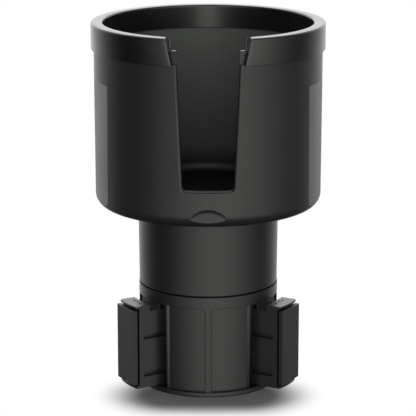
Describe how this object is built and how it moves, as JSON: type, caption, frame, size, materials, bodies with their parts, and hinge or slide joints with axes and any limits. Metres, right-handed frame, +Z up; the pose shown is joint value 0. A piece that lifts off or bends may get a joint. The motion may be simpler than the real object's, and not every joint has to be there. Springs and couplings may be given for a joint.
{
  "type": "car cup holder",
  "caption": "Expanding cup holder for a car: large open cup with a handle slot and soft rim on a neck, over a foot with arms that a twist of the cup drives out to grip the vehicle's well.",
  "frame": {"origin": "centre of the flat underside of the foot", "axes": "+Z up along the cup's axis, -Y towards the handle slot, +X to the right of it"},
  "size_m": [0.1178, 0.1162, 0.1865],
  "materials": {
    "cup_plastic": "fine satin moulding",
    "neck_plastic": "fine satin moulding",
    "base_plastic": "fine satin moulding",
    "arm_plastic": "fine satin moulding",
    "rim_soft": "soft matte skin",
    "mat_rubber": "matte",
    "pad_rubber": "matte",
    "drive_plastic": "slick natural plastic",
    "steel": "plated",
    "friction_rubber": "matte"
  },
  "bodies": {
    "base": {"base_housing": "base_plastic", "base_plate": "base_plastic", "base_screws": "steel", "guide_deck": "drive_plastic", "deck_screws": "steel", "spindle": "steel", "spindle_washer": "steel", "friction_washer": "friction_rubber"},
    "cup": {"cup_shell": "cup_plastic", "rim_ring": "rim_soft", "cup_mat": "mat_rubber", "cup_screws": "steel", "neck_tube": "neck_plastic", "cam_disc": "drive_plastic", "cam_screws": "steel"},
    "arm_left": {"arm_left": "arm_plastic", "pad_left": "pad_rubber", "pin_left": "steel"},
    "arm_right": {"arm_right": "arm_plastic", "pad_right": "pad_rubber", "pin_right": "steel"},
    "arm_rear": {"arm_rear": "arm_plastic", "pad_rear": "pad_rubber", "pin_rear": "steel"}
  },
  "joints": [
    {"name": "twist", "type": "hinge", "parent": "base", "child": "cup", "pos_m": [0, 0, 0.05], "axis": [0, 0, 1], "range_deg": [0, 100]},
    {"name": "slide_left", "type": "slide", "parent": "base", "child": "arm_left", "axis": [-0.866, -0.5, 0], "range_m": [-0.01251, 0]},
    {"name": "slide_right", "type": "slide", "parent": "base", "child": "arm_right", "axis": [0.866, -0.5, 0], "range_m": [-0.01251, 0]},
    {"name": "slide_rear", "type": "slide", "parent": "base", "child": "arm_rear", "axis": [0, 1, 0], "range_m": [-0.01251, 0]}
  ],
  "couplings": [
    {"joint": "slide_left", "follows": "twist", "m_per_rad": -0.007162},
    {"joint": "slide_right", "follows": "twist", "m_per_rad": -0.007162},
    {"joint": "slide_rear", "follows": "twist", "m_per_rad": -0.007162}
  ]
}
